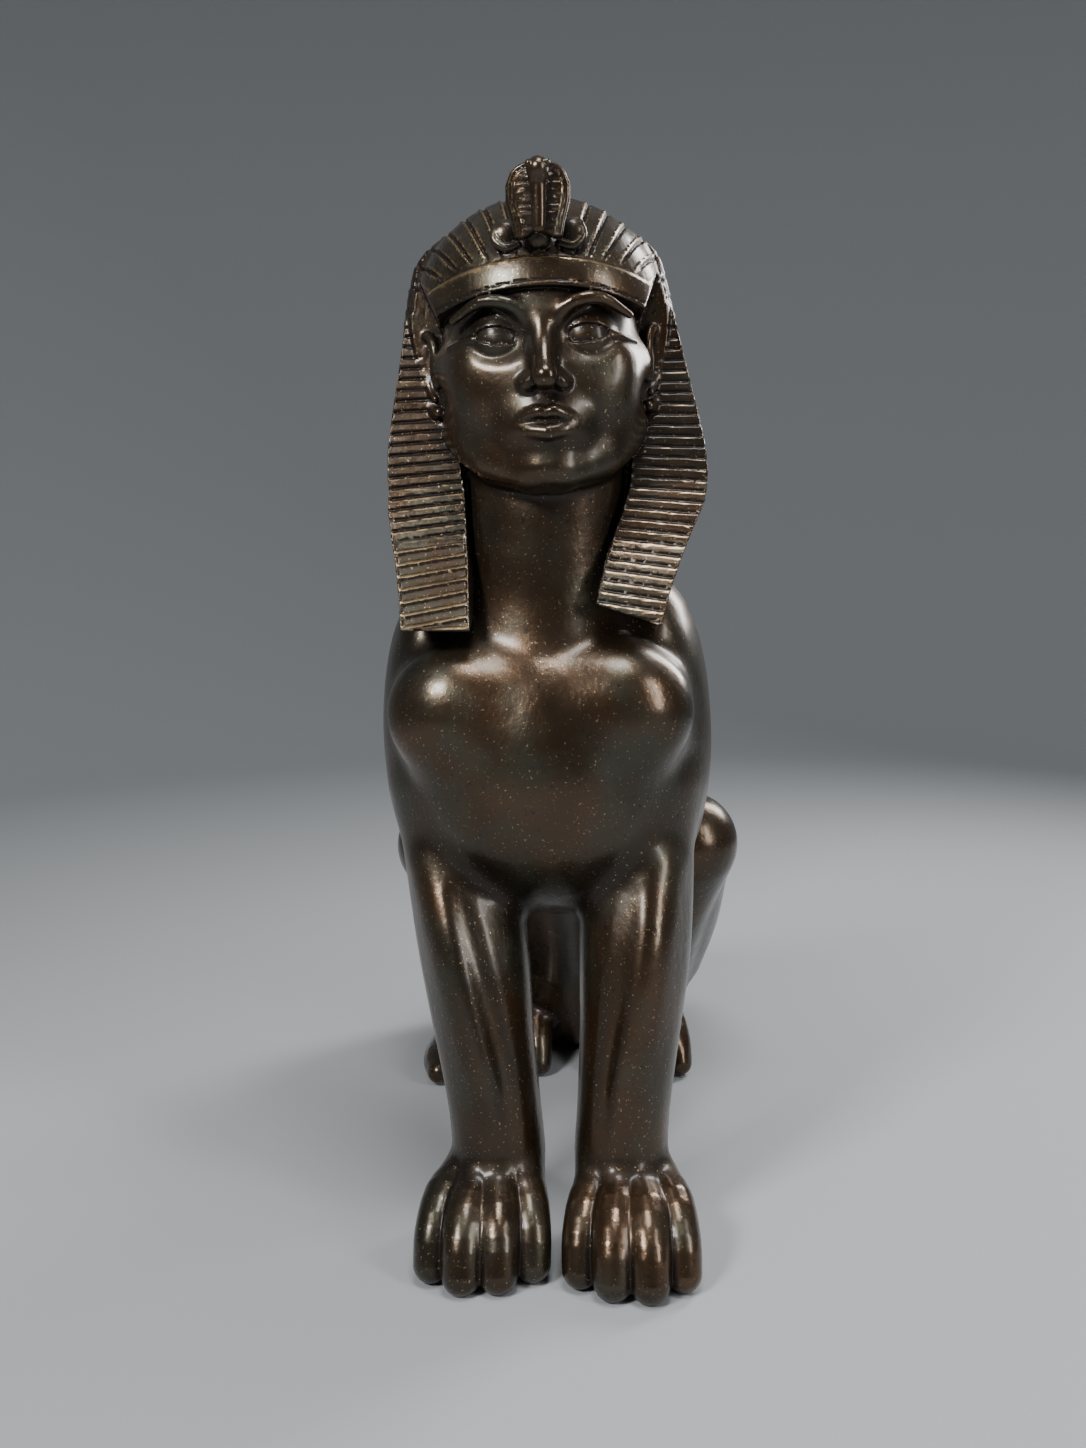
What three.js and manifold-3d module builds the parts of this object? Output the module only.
// A seated sphinx cast in one piece of bronze: lioness body, straight forelegs, a human head
// in a nemes headcloth with a rearing cobra at the brow.
//
// Millimetres. The sphinx faces -Y with +Z up, and X runs across it. The forms are laid out
// with Y = 0 at the tips of the front toes; the last step moves the origin to the middle of
// the footprint. The body is one signed distance field, blended from eggs and tapered limbs,
// then cut into triangles.

import * as THREE from "three";
import { edgeTable, triTable } from "three/addons/objects/MarchingCubes.js";
import { mergeVertices } from "three/addons/utils/BufferGeometryUtils.js";
import Module from "manifold-3d";

// ---------------------------------------------------------------- driving dimensions
const CROWN = 471;            // top of the headcloth
const MIDDLE_Y = 181.3;       // from the toe tips back to the middle of the footprint
const MIDDLE_X = -1.2;        // middle of the overall width
const CHEST_Y = 104;          // middle of the rib cage, back from the toes
const CHEST_Z = 226;
const CHEST_HALF = 67.5;      // half width of the rib cage
const BREAST_X = 34;
const SHOULDER_X = 54;
const KNEE_X = 70;            // the hind knees, the widest part of the sphinx
const KNEE_Y = 224;
const KNEE_Z = 140;
const HOCK_X = 49;
const HOCK_Y = 301;
const WRIST_X = 30.8;
const FORE_PAW_X = 31;
const HIND_PAW_X = 38.5;
const HIND_PAW_Y = 224;       // tips of the hind toes
const HIND_PAW_TURN = 4;      // degrees the hind paws turn out
const TOE_R = 9.2;
const SWAY = 2.4;             // the trunk stands this far to one side of the paws
const LEAD = 2.0;             // one forepaw is this far ahead of the other
const HEAD_Y = 84;            // middle of the skull
const HEAD_Z = 404;
const FACE_HALF = 45.5;
const CLOTH_DEPTH = 52;       // headcloth behind the ears
const BAND_Z = 429.5;         // middle of the brow band
const BAND_HALF = 6;
const LAPPET_END = 283;       // lower end of the headcloth's front lappets
const LAPPET_THICK = 15;
const COBRA_Z = 456.4;         // middle of the cobra's hood

// How the surface is cut up.
const CELL = 1.8;
const BLOCK = 8;
const TRIANGLES = 9300;

// ---------------------------------------------------------------- arithmetic on distances
const clamp = (t, lo, hi) => Math.min(hi, Math.max(lo, t));
const smoothMin = (a, b, k) => {
  const h = clamp(0.5 + (0.5 * (b - a)) / k, 0, 1);
  return b + (a - b) * h - k * h * (1 - h);
};
const smoothMax = (a, b, k) => -smoothMin(-a, -b, k);

// Straight-line interpolation of a quantity that changes with height or length.
const ramp = (t, stops) => {
  if (t <= stops[0][0]) return stops[0][1];
  for (let i = 1; i < stops.length; i++) {
    const [t0, v0] = stops[i - 1];
    const [t1, v1] = stops[i];
    if (t < t1) return v0 + ((v1 - v0) * (t - t0)) / (t1 - t0);
  }
  return stops[stops.length - 1][1];
};

// An ellipsoid. The turn is in degrees: about X first, then Y, then Z.
const egg = (centre, radii, turn = [0, 0, 0]) => {
  const [ax, ay, az] = turn.map(THREE.MathUtils.degToRad);
  const m = new THREE.Matrix3();
  const basis = new THREE.Matrix4().makeRotationFromEuler(new THREE.Euler(ax, ay, az, "ZYX"));
  m.setFromMatrix4(basis.invert());
  const e = m.elements;
  const [cx, cy, cz] = centre;
  const [a, b, c] = radii;
  const a2 = 1 / (a * a), b2 = 1 / (b * b), c2 = 1 / (c * c);
  return (x, y, z) => {
    const dx = x - cx, dy = y - cy, dz = z - cz;
    const u = e[0] * dx + e[3] * dy + e[6] * dz;
    const v = e[1] * dx + e[4] * dy + e[7] * dz;
    const w = e[2] * dx + e[5] * dy + e[8] * dz;
    const k0 = Math.sqrt(u * u * a2 + v * v * b2 + w * w * c2);
    const k1 = Math.sqrt(u * u * a2 * a2 + v * v * b2 * b2 + w * w * c2 * c2);
    return (k0 * (k0 - 1)) / Math.max(k1, 1e-9);
  };
};

// A tube with a changing radius through points [x, y, z, radius], on a Catmull-Rom curve.
const limb = (points, per = 4) => {
  const p = [extend(points[1], points[0]), ...points, extend(points.at(-2), points.at(-1))];
  const knots = [];
  for (let i = 1; i < p.length - 2; i++) {
    for (let s = 0; s < per; s++) knots.push(catmull(p[i - 1], p[i], p[i + 1], p[i + 2], s / per));
  }
  knots.push(points.at(-1));
  const bones = knots.slice(1).map((b, i) => bone(knots[i], b));
  return (x, y, z) => {
    let d = Infinity;
    for (const f of bones) d = Math.min(d, f(x, y, z));
    return d;
  };
};
const extend = (a, b) => b.map((v, i) => 2 * v - a[i]);
const catmull = (a, b, c, d, t) => b.map((_, i) => {
  const bend = 2 * a[i] - 5 * b[i] + 4 * c[i] - d[i];
  const twist = 3 * b[i] - a[i] - 3 * c[i] + d[i];
  return 0.5 * (2 * b[i] + (c[i] - a[i]) * t + bend * t * t + twist * t ** 3);
});
const bone = ([ax, ay, az, ra], [bx, by, bz, rb]) => {
  const ux = bx - ax, uy = by - ay, uz = bz - az;
  const uu = ux * ux + uy * uy + uz * uz;
  return (x, y, z) => {
    const dx = x - ax, dy = y - ay, dz = z - az;
    const t = clamp((dx * ux + dy * uy + dz * uz) / uu, 0, 1);
    const ex = dx - t * ux, ey = dy - t * uy, ez = dz - t * uz;
    return Math.sqrt(ex * ex + ey * ey + ez * ez) - (ra + (rb - ra) * t);
  };
};

// A form and its mirror image across the middle plane.
const both = (f) => (x, y, z) => f(Math.abs(x), y, z);

// Forms blended one after another: join([first], [next, softness], ...).
const join = (...forms) => (x, y, z) => {
  let d = forms[0][0](x, y, z);
  for (let i = 1; i < forms.length; i++) d = smoothMin(d, forms[i][0](x, y, z), forms[i][1]);
  return d;
};

// ---------------------------------------------------------------- trunk
const spine = limb([
  [0, 112, 218, 69], [0, 150, 197, 69], [0, 190, 170, 65],
  [0, 232, 138, 61], [0, 275, 102, 60], [0, 308, 53, 57],
], 3);
const slimming = (y) => ramp(y, [[108, 0.97], [150, 0.86], [190, 0.78], [235, 0.78], [280, 0.9], [320, 0.95]]);
const trunk = join(
  [(x, y, z) => spine(x / slimming(y), y, z) * 0.95],
  [egg([0, CHEST_Y, CHEST_Z], [CHEST_HALF, 66, 76]), 14],
  [egg([0, 112, 280], [48, 40, 44]), 22],
  [both(egg([BREAST_X, 65, 245], [33.5, 29.5, 31])), 8],
  [bone([0, 100, 290, 38], [0, 92, 360, 33]), 14],
  [both(egg([SHOULDER_X, 112, 230], [25.5, 44, 74], [16, -2, 0])), 14],
  [both(egg([34, 142, 264], [32, 40, 46], [30, 0, 0])), 26],
);

// ---------------------------------------------------------------- legs
const foreBone = limb([
  [47, 92, 205, 26], [44.5, 84, 166, 26], [40.5, 74, 130, 25],
  [35.5, 67, 88, 22], [WRIST_X, 62, 42, 19.5],
]);
const foreleg = both((x, y, z) => foreBone(x, 64 + (y - 64) / 1.14, z));

// A paw standing at the origin with its toe tips at y = 0.
const toeLine = [[-21.2, 9.5, 0.9], [-7.6, 1.5, 1], [7.6, 0, 1], [21.2, 8, 0.9]];
const toe = (s, [x, back, size]) => limb([
  [x * 0.66 * s, (back + 48) * s, 29 * s, TOE_R * size * s],
  [x * 0.86 * s, (back + 31) * s, 28.5 * s, (TOE_R * size + 0.7) * s],
  [x * s, (back + 17) * s, 20 * s, (TOE_R * size + 0.4) * s],
  [x * 1.03 * s, (back + 9.2) * s, 8 * s, TOE_R * size * 0.93 * s],
], 3);
const paw = (s) => join(
  [egg([0, 45 * s, 17 * s], [26 * s, 34 * s, 21 * s])],
  [egg([0, 72 * s, 11 * s], [18 * s, 18 * s, 14 * s]), 10],
  [join(...toeLine.map((t) => [toe(s, t), 1.6])), 4],
);
const forePaw = paw(1);
const hindPaw = paw(0.98);
const turnOut = THREE.MathUtils.degToRad(HIND_PAW_TURN);
const cosOut = Math.cos(turnOut), sinOut = Math.sin(turnOut);
const forepaw = (x, y, z) => forePaw(Math.abs(x) - FORE_PAW_X, y + LEAD * Math.sign(x), z);
const hindpaw = (x, y, z) => {
  const u = Math.abs(x) - HIND_PAW_X, v = y - HIND_PAW_Y;
  return hindPaw(cosOut * u + sinOut * v, -sinOut * u + cosOut * v, z);
};

const thigh = limb([
  [42, 308, 68, 44], [48, 288, 96, 47], [58, 255, 125, 40], [KNEE_X, KNEE_Y, KNEE_Z, 27],
]);
const shin = limb([
  [KNEE_X + 1, KNEE_Y - 2, KNEE_Z - 2, 25], [64, 244, 96, 19], [55, 276, 54, 15.5],
  [HOCK_X, HOCK_Y, 22, 14.5],
], 3);
const sole = limb([[HOCK_X, HOCK_Y, 18, 15], [45, 280, 19, 17], [40, 252, 22, 18]], 3);
const hindleg = both(join([thigh], [shin, 9], [sole, 8]));

const tail = limb([
  [0, 340, 30, 18], [-30, 352, 14, 11.5], [-60, 338, 8, 9.5], [-76, 306, 6.5, 8.5],
  [-79, 274, 6.5, 8.5], [-77, 246, 8, 9.5], [-72, 226, 8, 7],
]);

// ---------------------------------------------------------------- head
const skull = join(
  [egg([0, HEAD_Y, HEAD_Z], [FACE_HALF, 45, 58])],
  [egg([0, 74, 374], [37, 36, 30]), 14],
  [egg([0, 50, 354], [15, 12, 11]), 10],
  [both(egg([25, 58, 386], [15, 14, 16])), 12],
);
const eyeSocket = both(egg([19.5, 33, 404], [14, 11, 8.5]));
const features = [
  [both(egg([19, 49.5, 404], [12.5, 9.5, 8])), 1.5],
  [both(limb([[5.5, 41, 411, 2.2], [14, 40, 416.5, 2.6], [26, 43.5, 416, 2.4], [36, 52, 411, 1.6]], 3)), 4],
  [limb([[0, 41.5, 411, 4.2], [0, 37.5, 399, 4.6], [0, 33.5, 389, 6.2]], 3), 5],
  [both(egg([6.6, 40, 386.5], [4.8, 4.8, 4.8])), 3],
  [egg([0, 41.5, 369.5], [16.5, 9, 8.5]), 5],
  [both(limb([[0, 32.3, 372.6, 2.3], [3.5, 32, 373.6, 2.4], [13, 37.5, 370.6, 1.3]], 3)), 1.2],
  [both(limb([[0, 33.2, 367.2, 2.9], [6, 34.2, 367.4, 2.6], [13, 38, 369.8, 1.2]], 3)), 1.2],
];
const head = join([(x, y, z) => smoothMax(skull(x, y, z), -eyeSocket(x, y, z), 8)], ...features);

const earTurn = THREE.MathUtils.degToRad(-28);
const ear = both((x, y, z) => {
  const dx = x - 48.5, dy = y - 83, w = z - 395;
  const u = Math.cos(earTurn) * dx + Math.sin(earTurn) * dy;
  const v = -Math.sin(earTurn) * dx + Math.cos(earTurn) * dy;
  const rim = Math.sqrt((Math.hypot(v / 0.62, w) - 14.5) ** 2 * 0.7 + u * u) - 3.4;
  const bowl = earBowl(u, v, w);
  return smoothMin(smoothMin(rim, bowl, 3), earLobe(u, v, w), 4);
});
const earBowl = egg([-1.5, 0, 0], [3.2, 9, 15]);
const earLobe = egg([0, -3, -15.5], [3.6, 5, 5.5]);

// ---------------------------------------------------------------- headcloth
// Half width of the headcloth by height.
const clothHalf = (z) => ramp(z, [
  [262, 52], [278, 55.5], [300, 60.5], [331, 70.5], [349, 71.5],
  [380, 67], [406, 63], [430, 59.5], [448, 56], [470, 40],
]);
const crownEgg = egg([0, 90, CROWN - 52.5], [57, 56.5, 53]);
const wings = (x, y, z) => {
  const half = clothHalf(z), across = Math.abs(x);
  const deep = ramp(z, [[290, CLOTH_DEPTH - 12], [330, CLOTH_DEPTH - 6], [380, CLOTH_DEPTH], [430, CLOTH_DEPTH + 2], [470, 40]]);
  const k = Math.hypot(across / half, Math.max(y - 92, 0) / deep);
  const side = (k - 1) * Math.min(half, deep) * 0.9;
  const front = 84 + 0.2 * Math.max(across - 40, 0) - y;
  const d = smoothMax(smoothMax(side, front, 4), z - CROWN + 16, 12);
  return smoothMax(d, 290 + 0.5 * across - z, 8);
};
// The lappets hang forward from the wings onto the breast and are backed by solid metal.
const lappet = (x0, y, z) => {
  const x = x0 + ramp(z, [[280, 4], [340, 1.5], [400, 0]]);
  const across = Math.abs(x);
  const face = ramp(z, [[270, 42], [280, 45], [300, 55], [320, 66], [345, 76], [380, 82]]);
  const depth = Math.max(y - face - LAPPET_THICK, 0);
  const inner = ramp(z, [[270, 25], [280, 26.5], [310, 30.5], [345, 37], [380, 41]]) + 0.5 * depth;
  const outer = clothHalf(z) - 0.35 * depth;
  const slab = Math.max((face - y) * 0.86, y - 104);
  const sides = Math.max(inner - across, across - outer) * 0.95;
  const tilt = x > 0 ? -0.34 : 0.03;
  const end = LAPPET_END + (x > 0 ? 5 : 0) + tilt * (across - 42) + 0.3 * (y - face) - z;
  return smoothMax(smoothMax(Math.max(slab, sides), end, 1), z - 380, 6);
};
const queueLine = limb([[0, 132, 322, 20], [0, 148, 300, 13], [0, 160, 278, 11], [0, 178, 252, 9], [0, 190, 240, 6]], 3);
const queue = (x, y, z) => queueLine(x / 1.25, y, z);
const nape = egg([0, 98, 356], [50, 20, 36]);
const headcloth = join([crownEgg], [wings, 10], [nape, 4], [lappet, 1.5], [queue, 8]);

const bandEgg = egg([0, 88.5, 417], [55.5, 53.5, 52]);
const band = (x, y, z) => smoothMax(bandEgg(x, y, z), Math.abs(z + 0.0035 * x * x - BAND_Z) - BAND_HALF, 1);

// ---------------------------------------------------------------- cobra
const hood = join(
  [egg([0, 34, COBRA_Z], [13, 5, 16.5], [-8, 0, 0])],
  [egg([0, 33, COBRA_Z - 10], [9.5, 5, 10]), 6],
);
const cobra = join(
  [(x, y, z) => smoothMax(hood(x, y, z), COBRA_Z - 14 - z, 0.8)],
  [egg([0, 29.5, COBRA_Z + 8], [5.5, 6, 6]), 2],
  [both(limb([[6, 42, 442, 3.4], [12.5, 42, 439, 3.4], [16.5, 45, 444, 3.4], [13, 47, 449, 3.4], [6, 47, 452, 3.4]], 3)), 1.5],
  [limb([[0, 43, 441, 5], [0, 45, 452, 5], [0, 52, 463, 4.5], [0, 74, CROWN - 3, 3.5]], 3), 2],
);

// ---------------------------------------------------------------- the whole sphinx
// Each form with its softness and the box it fills: half width, near and far Y, low and high Z.
const forms = [
  [trunk, 1, 82, 30, 368, -4, 365],
  [foreleg, 10, 76, 35, 125, 15, 235],
  [forepaw, 9, 64, -3, 96, -8, 42],
  [hindleg, 8, 100, 190, 355, 0, 172],
  [hindpaw, 8, 74, 220, 320, -8, 42],
  [tail, 4, 92, 216, 366, -6, 50],
  [head, 5, 47, 26, 130, 340, 463],
  [headcloth, 0.5, 73, 35, 200, 230, 473],
  [band, 0.5, 57, 34, 144, 405, 437],
  [ear, 1.5, 62, 70, 96, 372, 416],
  [cobra, 1.5, 22, 22, 78, 434, 476],
];
const sphinx = (x0, y, z) => {
  const x = x0 + SWAY * Math.exp(-(((z - 215) / 90) ** 2));
  const across = Math.abs(x);
  let d = 1e3;
  for (const [form, k, half, y0, y1, z0, z1] of forms) {
    const gx = Math.max(across - half, 0);
    const gy = Math.max(y0 - y, y - y1, 0);
    const gz = Math.max(z0 - z, z - z1, 0);
    const reach = d + k;
    if (reach > 0 ? gx * gx + gy * gy + gz * gz < reach * reach : gx + gy + gz === 0) {
      d = smoothMin(d, form(x, y, z), k);
    }
  }
  return d;
};

// ---------------------------------------------------------------- cutting into triangles
// Marching cubes over only those blocks of cells that the surface can pass through.
const LOW = [-104, -8, -8];
const COUNT = [[-104, 104], [-8, 384], [-8, 484]].map(([a, b]) => Math.ceil((b - a) / CELL / BLOCK) * BLOCK);

function triangulate(field) {
  const stride = [1, COUNT[0] + 1, (COUNT[0] + 1) * (COUNT[1] + 1)];
  const points = [], faces = [], shared = new Map();
  const side = BLOCK + 1;
  const values = new Float64Array(side ** 3);
  const reach = 1.5 * (Math.sqrt(3) / 2) * BLOCK * CELL;
  const corner = [[0, 0, 0], [1, 0, 0], [1, 1, 0], [0, 1, 0], [0, 0, 1], [1, 0, 1], [1, 1, 1], [0, 1, 1]];
  const edge = [[0, 1], [1, 2], [3, 2], [0, 3], [4, 5], [5, 6], [7, 6], [4, 7], [0, 4], [1, 5], [2, 6], [3, 7]];

  const crossing = (e, i, j, k, cell) => {
    const [a, b] = edge[e];
    const [ax, ay, az] = corner[a];
    const axis = corner[b].findIndex((v, n) => v !== corner[a][n]);
    const key = ((i + ax) * stride[0] + (j + ay) * stride[1] + (k + az) * stride[2]) * 3 + axis;
    let id = shared.get(key);
    if (id === undefined) {
      const t = cell[a] / (cell[a] - cell[b]);
      const at = [i + ax, j + ay, k + az];
      at[axis] += clamp(t, 0.02, 0.98);
      id = points.length / 3;
      points.push(LOW[0] + at[0] * CELL, LOW[1] + at[1] * CELL, LOW[2] + at[2] * CELL);
      shared.set(key, id);
    }
    return id;
  };

  const cutBlock = (bi, bj, bk) => {
    for (let k = 0; k < side; k++) for (let j = 0; j < side; j++) for (let i = 0; i < side; i++) {
      const x = LOW[0] + (bi + i) * CELL, y = LOW[1] + (bj + j) * CELL, z = LOW[2] + (bk + k) * CELL;
      const d = field(x, y, z);
      values[i + side * (j + side * k)] = Math.abs(d) < 1e-4 ? 1e-4 : d;
    }
    for (let k = 0; k < BLOCK; k++) for (let j = 0; j < BLOCK; j++) for (let i = 0; i < BLOCK; i++) {
      const cell = corner.map(([a, b, c]) => values[i + a + side * (j + b + side * (k + c))]);
      const mask = cell.reduce((m, v, n) => m | (v < 0 ? 1 << n : 0), 0);
      if (edgeTable[mask] === 0) continue;
      for (let n = 16 * mask; triTable[n] !== -1; n += 3) {
        const ids = [0, 1, 2].map((m) => crossing(triTable[n + m], bi + i, bj + j, bk + k, cell));
        faces.push(ids[0], ids[2], ids[1]);
      }
    }
  };

  const half = (BLOCK * CELL) / 2;
  for (let bk = 0; bk < COUNT[2]; bk += BLOCK) for (let bj = 0; bj < COUNT[1]; bj += BLOCK) {
    for (let bi = 0; bi < COUNT[0]; bi += BLOCK) {
      const d = field(LOW[0] + bi * CELL + half, LOW[1] + bj * CELL + half, LOW[2] + bk * CELL + half);
      if (Math.abs(d) < reach) cutBlock(bi, bj, bk);
    }
  }
  return { points: Float64Array.from(points), faces: Int32Array.from(outerSkin(points, faces)) };
}

// The casting is solid between the headcloth and the neck: shells sealed inside are dropped.
function outerSkin(points, faces) {
  const parent = Int32Array.from({ length: points.length / 3 }, (_, i) => i);
  const root = (v) => {
    while (parent[v] !== v) v = parent[v] = parent[parent[v]];
    return v;
  };
  for (let i = 0; i < faces.length; i += 3) {
    parent[root(faces[i])] = root(faces[i + 1]);
    parent[root(faces[i + 1])] = root(faces[i + 2]);
  }
  let top = 0;
  for (let v = 0; v < parent.length; v++) if (points[3 * v + 2] > points[3 * top + 2]) top = v;
  return faces.filter((_, i) => root(faces[i - (i % 3)]) === root(top));
}

// ---------------------------------------------------------------- fewer, larger triangles
// Edge collapse by least squared distance to the planes of the original surface.
function simplify({ points, faces }, target) {
  const vertices = points.length / 3;
  const quadric = new Float64Array(vertices * 10);
  const around = Array.from({ length: vertices }, () => []);
  const alive = new Uint8Array(faces.length / 3).fill(1);
  const stamp = new Int32Array(vertices);
  let left = alive.length;

  const normalOf = (a, b, c) => {
    const ux = b[0] - a[0], uy = b[1] - a[1], uz = b[2] - a[2];
    const vx = c[0] - a[0], vy = c[1] - a[1], vz = c[2] - a[2];
    return [uy * vz - uz * vy, uz * vx - ux * vz, ux * vy - uy * vx];
  };
  const at = (v) => [points[3 * v], points[3 * v + 1], points[3 * v + 2]];
  const value = (q, [x, y, z]) =>
    q[0] * x * x + 2 * q[1] * x * y + 2 * q[2] * x * z + 2 * q[3] * x + q[4] * y * y +
    2 * q[5] * y * z + 2 * q[6] * y + q[7] * z * z + 2 * q[8] * z + q[9];

  for (let f = 0; f < alive.length; f++) {
    const ids = [faces[3 * f], faces[3 * f + 1], faces[3 * f + 2]];
    const [a, b, c] = ids.map(at);
    const n = normalOf(a, b, c);
    const size = Math.hypot(...n) || 1e-12;
    const [nx, ny, nz] = n.map((v) => v / size);
    const w = -(nx * a[0] + ny * a[1] + nz * a[2]);
    const weight = size * carving(a);
    const q = [nx * nx, nx * ny, nx * nz, nx * w, ny * ny, ny * nz, ny * w, nz * nz, nz * w, w * w];
    for (const v of ids) {
      around[v].push(f);
      for (let i = 0; i < 10; i++) quadric[10 * v + i] += q[i] * weight;
    }
  }

  const heap = new Heap();
  const neighbours = (v) => {
    const set = new Set();
    for (const f of around[v]) for (let i = 0; i < 3; i++) set.add(faces[3 * f + i]);
    set.delete(v);
    return set;
  };
  const plan = (u, v) => {
    const q = [];
    for (let i = 0; i < 10; i++) q.push(quadric[10 * u + i] + quadric[10 * v + i]);
    const a = at(u), b = at(v);
    const middle = a.map((t, i) => (t + b[i]) / 2);
    const best = [a, b, middle, lowest(q, middle, a, b)].filter(Boolean);
    const costs = best.map((t) => value(q, t));
    const pick = costs.indexOf(Math.min(...costs));
    const long = Math.hypot(a[0] - b[0], a[1] - b[1], a[2] - b[2]);
    heap.push({ cost: costs[pick] + 1e-5 * long * long, u, v, place: best[pick], su: stamp[u], sv: stamp[v] });
  };
  for (let v = 0; v < vertices; v++) for (const u of neighbours(v)) if (u > v) plan(v, u);

  while (left > target && heap.size) {
    const { u, v, place, su, sv } = heap.pop();
    if (stamp[u] !== su || stamp[v] !== sv || !around[u].length || !around[v].length) continue;
    const shared = around[u].filter((f) => faces[3 * f] === v || faces[3 * f + 1] === v || faces[3 * f + 2] === v);
    const nu = neighbours(u), nv = neighbours(v);
    let common = 0;
    for (const n of nu) if (nv.has(n)) common++;
    if (shared.length !== 2 || common !== 2) continue;
    const folds = [u, v].some((w) => around[w].some((f) => {
      if (shared.includes(f)) return false;
      const ids = [faces[3 * f], faces[3 * f + 1], faces[3 * f + 2]];
      const before = normalOf(...ids.map(at));
      const after = normalOf(...ids.map((i) => (i === w ? place : at(i))));
      const size = Math.hypot(...before) * Math.hypot(...after);
      const dot = before[0] * after[0] + before[1] * after[1] + before[2] * after[2];
      return dot < 0.35 * size || Math.hypot(...after) < 0.02;
    }));
    if (folds) continue;
    for (const f of shared) {
      alive[f] = 0;
      left--;
      for (let i = 0; i < 3; i++) {
        const w = faces[3 * f + i];
        around[w] = around[w].filter((g) => g !== f);
      }
    }
    for (const f of around[v]) {
      for (let i = 0; i < 3; i++) if (faces[3 * f + i] === v) faces[3 * f + i] = u;
      around[u].push(f);
    }
    around[v] = [];
    points.set(place, 3 * u);
    for (let i = 0; i < 10; i++) quadric[10 * u + i] += quadric[10 * v + i];
    stamp[u]++;
    stamp[v]++;
    for (const n of neighbours(u)) plan(u, n);
  }

  const index = [], kept = [], name = new Map();
  for (let f = 0; f < alive.length; f++) {
    if (!alive[f]) continue;
    for (let i = 0; i < 3; i++) {
      const v = faces[3 * f + i];
      if (!name.has(v)) {
        name.set(v, kept.length / 3);
        kept.push(...at(v));
      }
      index.push(name.get(v));
    }
  }
  return { points: Float32Array.from(kept), faces: Uint32Array.from(index) };
}

// The point where a quadric is least, if it lies near the edge it replaces.
function lowest(q, middle, a, b) {
  const m = new THREE.Matrix3().set(q[0], q[1], q[2], q[1], q[4], q[5], q[2], q[5], q[7]);
  const scale = q[0] + q[4] + q[7];
  if (Math.abs(m.determinant()) < 1e-6 * scale ** 3) return null;
  const p = new THREE.Vector3(-q[3], -q[6], -q[8]).applyMatrix3(m.invert()).toArray();
  const away = Math.hypot(p[0] - middle[0], p[1] - middle[1], p[2] - middle[2]);
  return away < Math.hypot(a[0] - b[0], a[1] - b[1], a[2] - b[2]) ? p : null;
}

// The face, ears, cobra and toes keep more of the triangles than the smooth body does.
function carving([x, y, z]) {
  const onFace = z > 350 && z < 425 && y < 60;
  const onPaw = z < 42 && y < 60;
  const onCobra = z > 434 && y < 56;
  return onFace ? 6 : onPaw || onCobra ? 3 : 1;
}

function Heap() {
  const items = [];
  const swap = (i, j) => ([items[i], items[j]] = [items[j], items[i]]);
  Object.defineProperty(this, "size", { get: () => items.length });
  this.push = (item) => {
    let i = items.push(item) - 1;
    for (let up = (i - 1) >> 1; i > 0 && items[i].cost < items[up].cost; i = up, up = (i - 1) >> 1) swap(i, up);
  };
  this.pop = () => {
    swap(0, items.length - 1);
    const top = items.pop();
    for (let i = 0; ;) {
      let least = i;
      for (const down of [2 * i + 1, 2 * i + 2]) {
        if (down < items.length && items[down].cost < items[least].cost) least = down;
      }
      if (least === i) return top;
      swap(i, least);
      i = least;
    }
  };
}

// ---------------------------------------------------------------- assembly
const wasm = await Module();
wasm.setup();
const surface = simplify(triangulate(sphinx), TRIANGLES);
const solid = new wasm.Manifold(new wasm.Mesh({ numProp: 3, vertProperties: surface.points, triVerts: surface.faces }));

// The paws, hocks and rump are filed flat where the sphinx stands.
const ground = new THREE.BoxGeometry(400, 600, 40).translate(0, 180, -20);
ground.deleteAttribute("normal");
ground.deleteAttribute("uv");
const block = mergeVertices(ground);
const file = new wasm.Manifold(new wasm.Mesh({
  numProp: 3,
  vertProperties: Float32Array.from(block.attributes.position.array),
  triVerts: Uint32Array.from(block.index.array),
}));
const cut = solid.subtract(file).getMesh();

const geometry = new THREE.BufferGeometry();
const origin = [MIDDLE_X, MIDDLE_Y, 0];
const positions = new Float32Array(cut.numVert * 3);
for (let v = 0; v < cut.numVert; v++) {
  for (let i = 0; i < 3; i++) positions[3 * v + i] = cut.vertProperties[v * cut.numProp + i] - origin[i];
}
geometry.setAttribute("position", new THREE.BufferAttribute(positions, 3));
geometry.setIndex(new THREE.BufferAttribute(Uint32Array.from(cut.triVerts), 1));
geometry.computeVertexNormals();

const bronze = new THREE.MeshStandardMaterial({ color: 0x3a2e22, roughness: 0.38, metalness: 0.85 });
const statue = new THREE.Group();
const body = new THREE.Mesh(geometry, bronze);
body.name = "sphinx";
statue.add(body);

export default statue;
